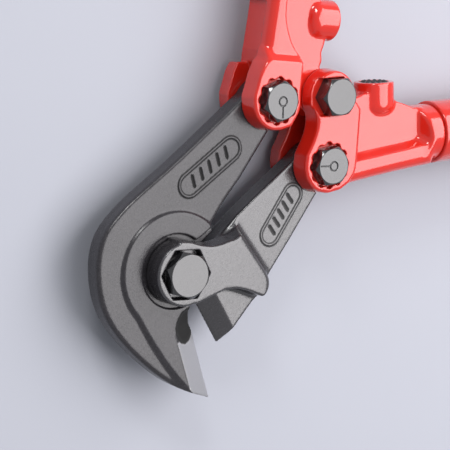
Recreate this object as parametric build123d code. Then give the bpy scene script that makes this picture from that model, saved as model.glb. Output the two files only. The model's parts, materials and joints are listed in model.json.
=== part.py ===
"""Mesh cutters: a hook blade and a fork blade on one pivot, driven by two long handles.

The tool lies flat on its back: X runs from the blade pivot to the handle pivot, +Y is the side of the
hook blade's handle, +Z points out of the front faces. The origin is on the blade pivot's axis, in the
plane that the tool rests on. Everything is modelled about the tool's middle plane and lifted by MIDDLE.
Left is the +Y side and right is the -Y side. All sizes are millimetres. At rest the jaw stands open.
"""
from build123d import *
import math
import os

# Linkage at rest
MIDDLE = 21.5  # height of the middle plane above the resting plane
BLADE_ARM_X, BLADE_ARM_Y = 97.9, 24.0  # blade pivot to each blade's handle bolt
LINK_X = 27.5  # handle bolts to the handle pivot, along X
HANDLE_PIVOT_X = BLADE_ARM_X + LINK_X
HANDLE_ANGLE = 41.2  # each handle's angle from the X axis
CLOSING_TURN = 13.19  # how far the fork blade turns from rest, in degrees, until the edges meet
PIN_PLAY = 3.2  # extra radius of the tongue's hole at the handle pivot, the linkage's open pivot

# Thicknesses, as half widths about the middle plane
SHANK_HALF = 6.0
SLOT_HALF = 6.25
RAISED_HALF = 7.5  # the hook blade's raised inner region
HUB_HALF = 5.4  # the hook blade's hub between the fork plates
FORK_INNER, FORK_OUTER = 5.7, 17.4
EAR_OUTER = 17.5
RAIL_HALF = 13.5
WEB_HALF = {"left": 6.0, "right": 7.0}
RAIL_SIDE = {  # the outer side of each handle's rail, in the handle's frame
    "left": [(2, -47), (20.7, -43.8), (40, -42.3), (66, -43.4)],
    "right": [(2, -50.3), (20.6, -48.3), (39, -46.5), (66, -44.3)],
}

# Blades
HUB_RADIUS = 20.0
RECESS_RADIUS = 19.3
RAISED_RADIUS = 30.0
FORK_RING_RADIUS = 16.4
HUB_GAP = 0.6  # between the hub's rim and the fork blade's root
ARM_END_RADIUS = 11.0
EDGE_ANGLE = -116.6  # direction of the hook blade's cutting edge
EDGE_OFFSET = 3.6  # how far the edge's line passes from the pivot
EDGE_GAP = 0.2  # left between the two edges when the jaw is shut
EDGE_LAND = 0.12  # half thickness left at the very edge
HOOK_EDGE_LENGTH = 76.0
FORK_EDGE_LENGTH = 51.5
BEVEL_RUN = 10.5  # width of a ground bevel where it reaches the shank's face
HOOK_BEVEL_START, FORK_BEVEL_START = 32.0, 19.6  # how far from the pivot each bevel begins
SCOOP_RADIUS, SCOOP_HEIGHT = 11.0, 11.2  # the round hollows beside the jaw's throat

# Fasteners
PIVOT_SHANK = 7.0
PIVOT_HEAD_FLATS, PIVOT_POCKET_FLATS, PIVOT_HEAD_TOP = 22.0, 24.8, 21.1
PIVOT_NUT_POCKET_RADIUS = 13.2
PIVOT_FLOOR = 12.4  # pocket floors in the fork plates
PIVOT_POCKET_TURN = 14.0
M12_SHANK, M12_FLATS = 6.0, 19.0
EAR_FLOOR = 14.0  # pocket floors in the ears
ECCENTRIC_HEAD_TOP, HANDLE_PIVOT_HEAD_TOP = 21.5, 22.9
ECCENTRIC_THROW, JOURNAL_RADIUS, FRONT_RADIUS = 0.5, 6.6, 7.25
STAR_RADIUS, STAR_NOTCHES, NOTCH_RADIUS = 12.5, 12, 2.1  # the pocket round an eccentric bolt's head
LONG_POCKET_SHIFT, LONG_POCKET_PLAY = -4.2, 0.6  # the pocket beside the handle pivot's head
ECCENTRIC_NUT_POCKET_RADIUS, PIN_NUT_POCKET_RADIUS = 12.1, 11.1
RUNNING_FIT, STATIC_FIT = 0.07, 0.05
WASHER_THICKNESS = 1.4

# Handles, in a frame with its origin on the handle pivot, X along the tube, Y towards the other handle
BOLT_SPOT = (-4.9, -36.2)
TUBE_AXIS_Y = -27.45
NECK_RADIUS, TUBE_RADIUS, TUBE_WALL = 16.0, 17.5, 2.0
NECK_START, TUBE_START, TUBE_END, SPIGOT_END = 61.0, 77.0, 803.0, 122.0
BOSS_X, BOSS_RADIUS, BOSS_LOW, BOSS_TOP = 39.0, 11.0, -14.0, 3.8
BUFFER_RADIUS, BUFFER_TOP, BUFFER_DEPTH = 8.0, 4.45, 9.0
EAR_RADIUS, PIVOT_EAR_RADIUS, TONGUE_RADIUS = 14.5, 13.2, 13.0
ARM_ROOM, TONGUE_ROOM = 3.2, 1.2  # clear of the arm's round end in the slot, and at the tongue's root
GRIP_START, GRIP_END, SLEEVE_RADIUS, GRIP_RADIUS = 640.0, 810.0, 19.4, 21.5
COLLAR_LENGTH, CAP_PLUG_LENGTH, CAP_PLUG_WALL, CAP_STEP = 7.0, 22.0, 3.0, 0.6

THROUGH = 30.0  # a height beyond every face, for cuts that run right through


def polygon(*points):
    return make_face(Polyline(*points, close=True))


def slab(face, low, high):
    """The face pulled up from height low to height high."""
    return Pos(0, 0, low) * extrude(face, high - low)


def both_sides(solid):
    return solid + mirror(solid, about=Plane.XY)


def disc(radius, at, low, high):
    return slab(Pos(*at) * Circle(radius), low, high)


def hexagon(flats, turn=0.0):
    return Rot(0, 0, turn) * RegularPolygon(flats / 2, 6, major_radius=False)


def polar(radius, degrees):
    return (radius * math.cos(math.radians(degrees)), radius * math.sin(math.radians(degrees)))


def edge_point(angle, offset, along):
    """A point on a cutting edge that runs at angle and passes the pivot at offset."""
    run, out = math.radians(angle), math.radians(angle + 90)
    return (offset * math.cos(out) + along * math.cos(run), offset * math.sin(out) + along * math.sin(run))


def bevel_cutter(angle, offset, along, length, side):
    """The stock ground off both faces along a cutting edge; side is +1 where the steel lies to its left."""
    slope = (SHANK_HALF - EDGE_LAND) / BEVEL_RUN
    reach = BEVEL_RUN * 1.5
    start = edge_point(angle, offset, along)
    top = EDGE_LAND + slope * reach
    section = polygon((-4, EDGE_LAND), (0, EDGE_LAND), (reach, top), (reach, THROUGH), (-4, THROUGH))
    across = Vector(*polar(1, angle + 90 * side))
    ahead = Vector(*polar(1, angle))
    plane = Plane(origin=(*start, 0), x_dir=across, z_dir=across.cross(Vector(0, 0, 1)))
    wedge = extrude(plane * section, length, dir=ahead)
    return both_sides(wedge)


def hook_blade():
    tip = edge_point(EDGE_ANGLE, EDGE_OFFSET, HOOK_EDGE_LENGTH)
    edge_start = edge_point(EDGE_ANGLE, EDGE_OFFSET, math.sqrt(HUB_RADIUS**2 - EDGE_OFFSET**2))
    back = Spline((88, 35.2), (40, 40), (0, 45), (-22, 40), (-39.5, 20), (-45.3, -5), (-42.5, -40), tip)
    hub = ThreePointArc(edge_start, polar(HUB_RADIUS, -55), polar(HUB_RADIUS, -4.5))
    step_out = Line(polar(HUB_RADIUS, -4.5), polar(RAISED_RADIUS, -4.5))
    underside = Polyline(polar(RAISED_RADIUS, -4.5), (30.3, 1.2), (33, 1), (45, 3.5), (60, 5), (88, 10.2))
    arm_end = Line((88, 10.2), (88, 35.2))
    outline = make_face(Curve() + [back, Line(tip, edge_start), hub, step_out, underside, arm_end])
    rest_bolt = (BLADE_ARM_X, BLADE_ARM_Y)
    arm_root = polygon((86, 9.9), (96.2, 13.2), (100, 34.8), (86, 35.4))
    blade = both_sides(slab(outline, 0, SHANK_HALF))
    blade += disc(ARM_END_RADIUS, rest_bolt, -SHANK_HALF, SHANK_HALF)
    blade += slab(arm_root, -SHANK_HALF, SHANK_HALF)
    crest = ThreePointArc(polar(RAISED_RADIUS, 1), polar(RAISED_RADIUS, 90), polar(RAISED_RADIUS, 180))
    inner_side = Spline(polar(RAISED_RADIUS, 180), (-33.5, -15), (-36, -30), (-37.5, -45), (-36.5, -58))
    rim = Polyline((-36.5, -58), tip, edge_start)
    hub_side = Line(polar(RAISED_RADIUS, -2), polar(RAISED_RADIUS, 1))
    hub_step = Line(polar(HUB_RADIUS, -2), polar(RAISED_RADIUS, -2))
    hub_arc = ThreePointArc(edge_start, polar(HUB_RADIUS, -55), polar(HUB_RADIUS, -2))
    raised = make_face(Curve() + [crest, inner_side, rim, hub_arc, hub_step, hub_side])
    blade += both_sides(slab(raised, 0, RAISED_HALF))
    # The fork plates run in a round recess, with the hub cut flat on the side where their roots pass.
    recess = Circle(RECESS_RADIUS)
    recess += polygon((0, 0), (-9, -25), (0, -40), (34, -40), (34, 0), (23, 1.6), (15, 4))
    blade -= both_sides(slab(recess, HUB_HALF, THROUGH))
    blade -= bevel_cutter(EDGE_ANGLE, EDGE_OFFSET, HOOK_BEVEL_START, HOOK_EDGE_LENGTH, -1)
    scoop = Sphere(SCOOP_RADIUS)
    blade -= both_sides(Pos(*edge_point(EDGE_ANGLE, EDGE_OFFSET, HOOK_BEVEL_START), SCOOP_HEIGHT) * scoop)
    blade -= disc(PIVOT_SHANK + RUNNING_FIT, (0, 0), -THROUGH, THROUGH)
    blade -= disc(JOURNAL_RADIUS + RUNNING_FIT, rest_bolt, -THROUGH, THROUGH)
    return blade


def fork_blade():
    angle, offset = EDGE_ANGLE + CLOSING_TURN, EDGE_OFFSET + EDGE_GAP
    root_radius = HUB_RADIUS + HUB_GAP
    edge_top = edge_point(angle, offset, math.sqrt(root_radius**2 - offset**2))
    edge_end = edge_point(angle, offset, FORK_EDGE_LENGTH)
    root_top = (math.sqrt(root_radius**2 - 7.2**2), -7.2)
    jaw = Polyline(edge_top, edge_end, (20, -48.6), (25.5, -48.9), (33, -46.4), (60, -41.9), (88, -36.6))
    top = Polyline((88, -36.6), (88, -12.2), (60, -8.8), (45, -7.4), root_top)
    root = ThreePointArc(root_top, polar(root_radius, -55), edge_top)
    core = make_face(Curve() + [jaw, top, root])
    rest_bolt = (BLADE_ARM_X, -BLADE_ARM_Y)
    arm_root = polygon((86, -12), (99.2, -13.2), (96, -34.8), (86, -37))
    blade = slab(core, -SHANK_HALF, SHANK_HALF)
    blade += disc(ARM_END_RADIUS, rest_bolt, -SHANK_HALF, SHANK_HALF)
    blade += slab(arm_root, -SHANK_HALF, SHANK_HALF)
    blade -= bevel_cutter(angle, offset, FORK_BEVEL_START, FORK_EDGE_LENGTH, 1)
    upper = [(9, 15), (13.5, 9.5), (16.5, 4), (21.5, -2), (28.5, -6.5), (36, -9.8)]
    lower = [(32.5, -39), (29.5, -43.5), (25.5, -45), (23, -44), (19.5, -36), (15.5, -29), (10.5, -24),
             (-7, -15.6)]
    cheek = polygon(*upper, *lower) + Circle(FORK_RING_RADIUS)
    blade += both_sides(slab(cheek, FORK_INNER, FORK_OUTER))
    blade -= disc(PIVOT_SHANK + STATIC_FIT, (0, 0), -THROUGH, THROUGH)
    blade -= slab(hexagon(PIVOT_POCKET_FLATS, PIVOT_POCKET_TURN), PIVOT_FLOOR, THROUGH)
    blade -= disc(PIVOT_NUT_POCKET_RADIUS, (0, 0), -THROUGH, -PIVOT_FLOOR)
    blade -= disc(JOURNAL_RADIUS + RUNNING_FIT, rest_bolt, -THROUGH, THROUGH)
    return blade


def tube_along(outer, inner, start, end):
    ring = Circle(outer) - Circle(inner) if inner else Circle(outer)
    return Pos(start, TUBE_AXIS_Y, 0) * Rot(0, 90, 0) * extrude(ring, end - start)


def boss_bar(radius, low, high):
    """A round bar along the boss's axis, which points at the other handle."""
    return Pos(BOSS_X, low, 0) * Rot(-90, 0, 0) * extrude(Circle(radius), high - low)


def star_pocket():
    """A ring of round notches that the hexagon head can sit in at twelve angles."""
    notch_ring = STAR_RADIUS - NOTCH_RADIUS
    pocket = Circle(notch_ring + NOTCH_RADIUS * 0.4)
    for step in range(STAR_NOTCHES):
        pocket += Pos(*polar(notch_ring, step * 360 / STAR_NOTCHES)) * Circle(NOTCH_RADIUS)
    return pocket


def eccentric_centre():
    return (BOLT_SPOT[0] + ECCENTRIC_THROW, BOLT_SPOT[1])


def bolt_holes(head):
    """The stepped hole, star pocket and nut pocket for the eccentric bolt."""
    centre = eccentric_centre()
    head -= disc(FRONT_RADIUS + STATIC_FIT, centre, 0, THROUGH)
    head -= disc(M12_SHANK + STATIC_FIT, centre, -THROUGH, 1)
    head -= slab(Pos(*centre) * star_pocket(), EAR_FLOOR, THROUGH)
    head -= disc(ECCENTRIC_NUT_POCKET_RADIUS, centre, -THROUGH, -EAR_FLOOR)
    return head


def handle_core(side):
    """What both forged heads share: web, rail, neck, spigot, boss and the slot for the blade's arm."""
    web = polygon((9, -42), (9, -10), (12.5, -3.5), (17.5, -2), (22, -3), (27, -1.5), (39, -1), (50, -8),
                  (55.2, -10.7), (66, -12), (66, -42))
    core = slab(web, -WEB_HALF[side], WEB_HALF[side])
    rail = polygon(*RAIL_SIDE[side], (66, -31.6), (50, -32.4), (36, -34), (14, -36.5), (2, -36.5))
    core += slab(rail, -RAIL_HALF, RAIL_HALF)
    core += tube_along(NECK_RADIUS, 0, NECK_START, TUBE_START)
    core += tube_along(TUBE_RADIUS - TUBE_WALL - STATIC_FIT, 0, TUBE_START, SPIGOT_END)
    core += boss_bar(BOSS_RADIUS, BOSS_LOW, BOSS_TOP)
    core -= boss_bar(BUFFER_RADIUS + STATIC_FIT, BUFFER_TOP - BUFFER_DEPTH - STATIC_FIT, BOSS_TOP + 5)
    return core


def arm_slot():
    """The gap between the ears, where the arm's round end turns, run out as a shallow flat along the rail."""
    room = Pos(*BOLT_SPOT) * Circle(ARM_END_RADIUS + ARM_ROOM)
    room += polygon((-40, -70), (46, -70), (46, -40.4), (29, -41.8), (20.7, -42.6), (14, -41.5), (8, -38.5),
                    (6, -38.5), (6, -24), (-2, -24), (-2, -19), (-40, -19))
    return slab(room, -SLOT_HALF, SLOT_HALF)


def right_handle_head():
    head = handle_core("right")
    plate = polygon((-12.6, -3), (-11.5, -12), (-12.5, -18), (-18, -30), (-14, -47.5), (-5, -50.7), (3, -50),
                    (9, -47), (13, -42), (14, -38.5), (17.3, -8), (12.4, -1))
    plate += Circle(PIVOT_EAR_RADIUS)
    plate += Pos(*BOLT_SPOT) * Circle(EAR_RADIUS)
    head += slab(plate, -EAR_OUTER, EAR_OUTER)
    head -= disc(TONGUE_RADIUS + PIN_PLAY + 0.4, (0, 0), -SLOT_HALF, SLOT_HALF)
    gap = polygon((-40, -60), (3, -60), (3, -30), (9.5, -16), (9.5, 20), (-40, 20))
    head -= slab(gap, -SLOT_HALF, SLOT_HALF)
    head -= arm_slot()
    head = bolt_holes(head)
    head -= disc(M12_SHANK + STATIC_FIT, (0, 0), -THROUGH, THROUGH)
    pocket = hexagon(M12_FLATS + LONG_POCKET_PLAY)
    pocket += Pos(LONG_POCKET_SHIFT, 0) * hexagon(M12_FLATS + LONG_POCKET_PLAY)
    head -= slab(make_hull(pocket.edges()), EAR_FLOOR, THROUGH)
    head -= disc(PIN_NUT_POCKET_RADIUS, (0, 0), -THROUGH, -EAR_FLOOR)
    return head


def left_handle_head():
    head = handle_core("left")
    ear = polygon((-19, -33), (-17, -26), (-9, -22.3), (14, -22.3), (17, -23.5), (17, -44), (14.8, -46.2),
                  (8, -48.6), (-4, -50.7))
    ear += Pos(*BOLT_SPOT) * Circle(EAR_RADIUS)
    head += slab(ear, -EAR_OUTER, EAR_OUTER)
    flange = polygon((10, -22.3), (16, -20.5), (23, -27), (32, -31.5), (40, -32.8), (47, -33.2), (47, -42),
                     (10, -42))
    head += slab(flange, -RAIL_HALF, RAIL_HALF)
    tongue = Circle(TONGUE_RADIUS) + polygon((-13, 0), (13, 0), (14, -10), (12, -24), (-1, -24), (-12.5, -6))
    head -= arm_slot()
    head += slab(tongue, -WEB_HALF["left"], WEB_HALF["left"])
    head -= disc(ARM_END_RADIUS + TONGUE_ROOM, BOLT_SPOT, -SLOT_HALF, SLOT_HALF)
    head = bolt_holes(head)
    head -= disc(M12_SHANK + PIN_PLAY, (0, 0), -THROUGH, THROUGH)
    return head


def chamfer_cone(flats, low, high):
    """The cone that trims a hexagon's corners at 30 degrees, narrowest at height high."""
    top_radius = flats / 2 - 0.5
    tall = high - low
    centred = (Align.CENTER, Align.CENTER, Align.MIN)
    low_radius = top_radius + tall / math.tan(math.radians(30))
    return Pos(0, 0, low) * Cone(low_radius, top_radius, tall, align=centred)


def hex_bolt(shank, flats, floor, top, end, turn):
    """A bolt with its washer-faced head above floor, turned by turn degrees."""
    head = slab(hexagon(flats, turn), floor, top)
    return disc(shank, (0, 0), -end, floor) + (head & chamfer_cone(flats, floor, top))


def nut(flats, bore, low, high, turn):
    """A nut whose outer face is the lower one."""
    solid = slab(hexagon(flats, turn), low, high) & mirror(chamfer_cone(flats, -high, -low), about=Plane.XY)
    return solid - disc(bore + STATIC_FIT, (0, 0), low - 1, high + 1)


def washer(outer, bore, low, high):
    return slab(Circle(outer) - Circle(bore + STATIC_FIT), low, high)


def eccentric_bolt():
    centre = eccentric_centre()
    bolt = Pos(*centre) * hex_bolt(FRONT_RADIUS, M12_FLATS, EAR_FLOOR, ECCENTRIC_HEAD_TOP, -SLOT_HALF, 6)
    bolt += disc(JOURNAL_RADIUS, BOLT_SPOT, -SLOT_HALF + STATIC_FIT, SLOT_HALF)
    bolt += disc(M12_SHANK, centre, 1 - MIDDLE, 0)
    return bolt


def handle_side(name, head):
    """All the pieces that ride on one handle, in the handle's own frame."""
    nut_low = -MIDDLE
    washer_low = -EAR_FLOOR - WASHER_THICKNESS
    spot = Pos(*eccentric_centre())
    inside = TUBE_RADIUS - TUBE_WALL
    sleeve = tube_along(SLEEVE_RADIUS, TUBE_RADIUS + STATIC_FIT, GRIP_START, TUBE_END)
    sleeve += tube_along(GRIP_RADIUS, TUBE_RADIUS + STATIC_FIT, GRIP_START, GRIP_START + COLLAR_LENGTH)
    pad = tube_along(GRIP_RADIUS, SLEEVE_RADIUS, GRIP_START + COLLAR_LENGTH, TUBE_END)
    cap = tube_along(GRIP_RADIUS - CAP_STEP, 0, TUBE_END, GRIP_END)
    cap += tube_along(inside - STATIC_FIT, inside - CAP_PLUG_WALL, TUBE_END - CAP_PLUG_LENGTH, TUBE_END)
    return {
        name + "_handle_head": head,
        name + "_handle_tube": tube_along(TUBE_RADIUS, inside, TUBE_START, TUBE_END),
        name + "_grip_sleeve": sleeve,
        name + "_grip_pad": pad,
        name + "_grip_end_cap": cap,
        name + "_stop_buffer": boss_bar(BUFFER_RADIUS, BUFFER_TOP - BUFFER_DEPTH, BUFFER_TOP),
        name + "_eccentric_bolt": eccentric_bolt(),
        name + "_eccentric_washer": spot * washer(11.6, M12_SHANK, washer_low, -EAR_FLOOR),
        name + "_eccentric_nut": spot * nut(M12_FLATS, M12_SHANK, nut_low, washer_low, 11),
    }


def place_handle(solid, side):
    placed = Pos(HANDLE_PIVOT_X, 0, 0) * Rot(0, 0, -HANDLE_ANGLE) * solid
    return mirror(placed, about=Plane.XZ) if side == "left" else placed


def handle_pivot_set():
    washer_low = -EAR_FLOOR - WASHER_THICKNESS
    bolt = hex_bolt(M12_SHANK, M12_FLATS, EAR_FLOOR, HANDLE_PIVOT_HEAD_TOP, MIDDLE - 1, 0)
    return {
        "handle_pivot_bolt": bolt,
        "handle_pivot_washer": washer(10.8, M12_SHANK, washer_low, -EAR_FLOOR),
        "handle_pivot_nut": nut(M12_FLATS, M12_SHANK, -MIDDLE, washer_low, 20),
    }


def blade_pivot_set():
    washer_low = -PIVOT_FLOOR - WASHER_THICKNESS
    return {
        "pivot_bolt": hex_bolt(PIVOT_SHANK, PIVOT_HEAD_FLATS, PIVOT_FLOOR, PIVOT_HEAD_TOP, MIDDLE - 1, 0),
        "pivot_washer": washer(12.6, PIVOT_SHANK, washer_low, -PIVOT_FLOOR),
        "pivot_nut": nut(PIVOT_HEAD_FLATS, PIVOT_SHANK, -MIDDLE, washer_low, 8),
    }


def all_parts():
    parts = {"hook_blade": hook_blade(), "fork_blade": fork_blade()}
    parts.update(blade_pivot_set())
    for side, head in (("left", left_handle_head()), ("right", right_handle_head())):
        for name, solid in handle_side(side, head).items():
            parts[name] = place_handle(solid, side)
    for name, solid in handle_pivot_set().items():
        parts[name] = place_handle(solid, "right")
    return parts


os.makedirs("parts", exist_ok=True)
for part_name, part_solid in all_parts().items():
    lifted = Pos(0, 0, MIDDLE) * part_solid
    export_step(lifted, "parts/" + part_name + ".step")
    print(part_name, "solids", len(lifted.solids()), "volume", round(lifted.volume))
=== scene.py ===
"""Looks for the mesh cutters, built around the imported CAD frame.

The blades, the forged heads, the bolts, the nuts and the buffers are meshed from distance fields. Each is a
sum of slabs, bars and pockets in millimetres, softened where it is forged and crisp where it is machined.
The tubes and grips are turned from profiles. Handle pieces are drawn in the handle's own frame, with the
middle plane at z = 0, and placed on both sides.
"""
import json
import math
import bpy
import numpy as np
from mathutils import Matrix, Vector


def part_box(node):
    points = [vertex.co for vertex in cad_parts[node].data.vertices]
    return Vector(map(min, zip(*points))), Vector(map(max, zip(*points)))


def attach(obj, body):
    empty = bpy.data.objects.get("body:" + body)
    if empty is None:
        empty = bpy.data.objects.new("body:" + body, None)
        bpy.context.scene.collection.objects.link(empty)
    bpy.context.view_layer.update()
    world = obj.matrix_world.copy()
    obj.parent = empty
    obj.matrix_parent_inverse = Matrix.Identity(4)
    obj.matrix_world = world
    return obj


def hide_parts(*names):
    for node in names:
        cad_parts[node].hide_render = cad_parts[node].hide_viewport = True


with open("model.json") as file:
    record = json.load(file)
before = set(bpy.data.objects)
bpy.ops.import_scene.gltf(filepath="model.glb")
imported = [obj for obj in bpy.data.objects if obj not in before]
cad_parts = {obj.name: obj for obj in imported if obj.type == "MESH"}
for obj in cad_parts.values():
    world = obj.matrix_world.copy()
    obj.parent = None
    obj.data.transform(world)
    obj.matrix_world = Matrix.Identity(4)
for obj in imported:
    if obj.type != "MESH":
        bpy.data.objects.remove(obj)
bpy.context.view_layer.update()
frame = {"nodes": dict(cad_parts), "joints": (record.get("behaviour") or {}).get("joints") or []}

# ---------------------------------------------------------------- sizes from the frame, in millimetres
MM = 0.001
JOINTS = {joint["name"]: joint for joint in frame["joints"]}
LEFT_BOLT = Vector(JOINTS["left_handle_pivot"]["pos_m"]) / MM
MIDDLE = LEFT_BOLT.z  # height of the tool's middle plane
low, high = (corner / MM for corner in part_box("handle_pivot_washer"))
HANDLE_PIVOT = Vector(((low.x + high.x) / 2, 0, MIDDLE))
HANDLE_ANGLE = math.radians(41.2)
ARM = (LEFT_BOLT.x, LEFT_BOLT.y)  # where the left handle's bolt goes through the hook blade's arm
FORK_ARM = (ARM[0], -ARM[1])

# Half thicknesses about the middle plane
SHANK, SLOT, RAISED, HUB = 6.0, 6.25, 7.5, 5.4
FORK_INNER, FORK_OUTER, EAR, RAIL = 5.7, 17.4, 17.5, 13.5
WEB = {"left": 6.0, "right": 7.0}
PIVOT_FLOOR, EAR_FLOOR = 12.4, 14.0

# Blades: the hub between them, and the cutting edges, each a direction and a distance from the pivot
HUB_RADIUS, HUB_GAP, HUB_START, HUB_END = 20.0, 0.6, -106, -4.5
RECESS_RADIUS, RAISED_RADIUS, RING_RADIUS = 19.3, 30.0, 16.4
STEP_SLOPES = (2.0, 0.9)  # how far the raised region's wall spreads per mm of depth, at the tip and the hub
CLOSING_TURN = 13.19
HOOK_EDGE = (-116.6, 3.6)
FORK_EDGE = (HOOK_EDGE[0] + CLOSING_TURN, 3.8)
HOOK_EDGE_END, FORK_EDGE_END = 76, 51.5
EDGE_LAND, BEVEL_RUN = 0.12, 10.5
BEVEL_SLOPE = (SHANK - EDGE_LAND) / BEVEL_RUN
HOOK_BEVEL_START = 32.0  # how far from the pivot the hook's ground bevel begins
BARE_START, BARE_DEPTH = 36.5, 0.15  # where the ground steel is bare, and how near the bevel's plane
SCOOP_DEPTH, SCOOP_RADIUS, SCOOP_INSET, SCOOP_RIM = 11.2, 11.0, 1.5, 1.1
NOSE_TRIM, RAMP_STEEPNESS = 2.4, 1.1  # on the plates of the fork: a corner cut off, and a sloping end

# Handle frame: origin on the handle pivot, X along the tube, Y towards the other handle
THROW = 0.5  # how far the adjusting bolts' journals are off their heads' centres
BOLT_SPOT = (-4.9, -36.2)
ECCENTRIC = (BOLT_SPOT[0] + THROW, BOLT_SPOT[1])
TUBE_Y = -27.45
NECK_RADIUS, TUBE_RADIUS, TUBE_WALL = 16.0, 17.5, 2.0
NECK_START, TUBE_START, TUBE_END, GRIP_END = 55.0, 77.0, 803.0, 810.0
RAIL_END, END_WALL = 71.0, 64.0
BOSS_X, BOSS_RADIUS, BOSS_ROUND, BOSS_LOW, BOSS_TOP = 39.0, 11.0, 6.0, -14.0, 3.8
BUFFER_RADIUS, BUFFER_TOP, BUFFER_DEPTH = 8.0, 4.45, 9.0
EAR_RADIUS, PIVOT_EAR_RADIUS, TONGUE_RADIUS, ARM_END_RADIUS = 14.5, 13.2, 13.0, 11.0
ARM_ROOM, TONGUE_ROOM, TONGUE_GAP = 3.2, 1.2, 3.6
BACK_STEP = 13.5  # where the left head's back ear ends
GRIP_START, SLEEVE_RADIUS, GRIP_RADIUS, COLLAR = 640.0, 19.4, 21.5, 7.0
CAP_PLUG_LENGTH, CAP_PLUG_WALL = 22.0, 3.0

# Bores, pockets and fasteners
HOOK_BORE, FORK_BORE, ARM_BORE, PIN_BORE, ADJUSTER_BORE, TONGUE_HOLE = 7.07, 7.05, 6.67, 6.05, 7.3, 9.2
PIVOT_POCKET_FLATS, PIVOT_POCKET_TURN, PIVOT_NUT_POCKET = 24.8, 44, 13.0
LONG_POCKET_FLATS, LONG_POCKET_SHIFT, PIN_NUT_POCKET = 19.6, 4.2, 11.1
STAR_RADIUS, STAR_NOTCHES, NOTCH_RADIUS, NOTCH_REACH, ADJUSTER_NUT_POCKET = 11.2, 12, 2.1, 10.4, 12.1
PIVOT_FLATS, PIVOT_SHANK, PIVOT_TOP = 22.0, 7.0, 21.1
BOLT_FLATS, PIN_SHANK, PIN_TOP = 19.0, 6.0, 22.9
ADJUSTER_COLLAR, ADJUSTER_JOURNAL, ADJUSTER_TOP = 7.25, 6.6, 21.5
WASHER, OVERLAP, TAIL = 1.4, 0.1, 1.0  # washer and its play; shanks run into heads, and end above the floor
ROUND_TURN = 30  # from a hexagon's flat to its corner

# Blend widths of bored, milled and trimmed edges; forged ones are named where they are used
FINE, CRISP, EASED, BLUNT = 0.3, 0.4, 0.5, 0.6

# Generic badges on the blades: ring centre line's ends, on the middle plane, and its radius
RIDGE, BADGE_RELIEF, BADGE_BARS = 0.65, 0.6, 5
HOOK_BADGE = (((36, 26), (65.5, 21.5)), 6.0)
FORK_BADGE = (((52, -30), (76, -25)), 5.6)

VOXEL = 0.55


# ---------------------------------------------------------------- outlines
def polar(radius, degrees, centre=(0, 0)):
    angle = math.radians(degrees)
    return (centre[0] + radius * math.cos(angle), centre[1] + radius * math.sin(angle))


def arc(centre, radius, start, end, steps=16):
    return [polar(radius, start + (end - start) * i / steps, centre) for i in range(steps + 1)]


def curve(points, steps=8):
    """A smooth line through the points."""
    p = [np.array(q, float) for q in points]
    p = [2 * p[0] - p[1]] + p + [2 * p[-1] - p[-2]]
    line = []
    for a, b, c, d in zip(p, p[1:], p[2:], p[3:]):
        for i in range(steps):
            t = i / steps
            line.append(tuple(0.5 * (2 * b + (c - a) * t + (2 * a - 5 * b + 4 * c - d) * t**2
                                     + (3 * b - a - 3 * c + d) * t**3)))
    return line + [tuple(points[-1])]


def edge_point(edge, along, inward=0.0):
    """A point on a cutting edge; inward is measured square to it, clockwise from its direction."""
    angle, offset = edge
    base = polar(offset - inward, angle + 90)
    return polar(along, angle, base)


# ---------------------------------------------------------------- distance fields
class Grid:
    def __init__(self, low, high, step):
        self.step = step
        self.low = np.array(low, float)
        axes = [np.arange(a, b + step, step) for a, b in zip(low, high)]
        self.x, self.y, self.z = np.meshgrid(*axes, indexing="ij", sparse=True)
        self.depth = np.abs(self.z)


def outline(grid, points):
    """Signed distance to a closed outline in the XY plane, negative inside."""
    x, y = grid.x, grid.y
    best = np.full(np.broadcast(x, y).shape, 1e9)
    inside = np.zeros(best.shape, bool)
    ring = [np.array(p, float) for p in points]
    for a, b in zip(ring, ring[1:] + ring[:1]):
        run = b - a
        size = run @ run
        if size < 1e-12:
            continue
        px, py = x - a[0], y - a[1]
        t = np.clip((px * run[0] + py * run[1]) / size, 0, 1)
        best = np.minimum(best, (px - run[0] * t) ** 2 + (py - run[1] * t) ** 2)
        crosses = (a[1] > y) != (b[1] > y)
        if run[1] != 0:
            inside ^= crosses & (x < a[0] + (y - a[1]) * run[0] / run[1])
    return np.where(inside, -1, 1) * np.sqrt(best)


class Places:
    """Loose points that the same distance functions can be asked about."""
    def __init__(self, points):
        self.x, self.y, self.z = points.T
        self.depth = np.abs(self.z)


def circle(grid, radius, centre=(0, 0)):
    return np.hypot(grid.x - centre[0], grid.y - centre[1]) - radius


def capsule(grid, a, b, radius):
    a, run = np.array(a, float), np.array(b, float) - np.array(a, float)
    px, py = grid.x - a[0], grid.y - a[1]
    t = np.clip((px * run[0] + py * run[1]) / (run @ run), 0, 1)
    return np.hypot(px - run[0] * t, py - run[1] * t) - radius


def hexagon(grid, flats, turn=0.0, centre=(0, 0)):
    """A hexagon with a flat side that faces the turn's direction."""
    best = -1e9
    for i in range(6):
        angle = math.radians(turn + 60 * i)
        side = (grid.x - centre[0]) * math.cos(angle) + (grid.y - centre[1]) * math.sin(angle)
        best = np.maximum(best, side - flats / 2)
    return best


def slab(grid, flat, half, edge=0.0, draft=0.0):
    """A flat shape given thickness on both sides of the middle plane, with rounded rims and drafted walls."""
    side = flat + draft * (grid.depth - half) + edge
    face = grid.depth - half + edge
    if edge == 0:
        return np.maximum(side, face)
    return np.minimum(np.maximum(side, face), 0) + np.hypot(np.maximum(side, 0), np.maximum(face, 0)) - edge


def front_slab(grid, flat, low, high):
    return np.maximum(flat, np.maximum(low - grid.z, grid.z - high))


def beyond(grid, spot, direction, lean, top):
    """How far places lie past a line through spot, square to a direction; it leans out below the top."""
    past = (grid.x - spot[0]) * direction[0] + (grid.y - spot[1]) * direction[1]
    return past - lean * (top - grid.depth)


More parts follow.
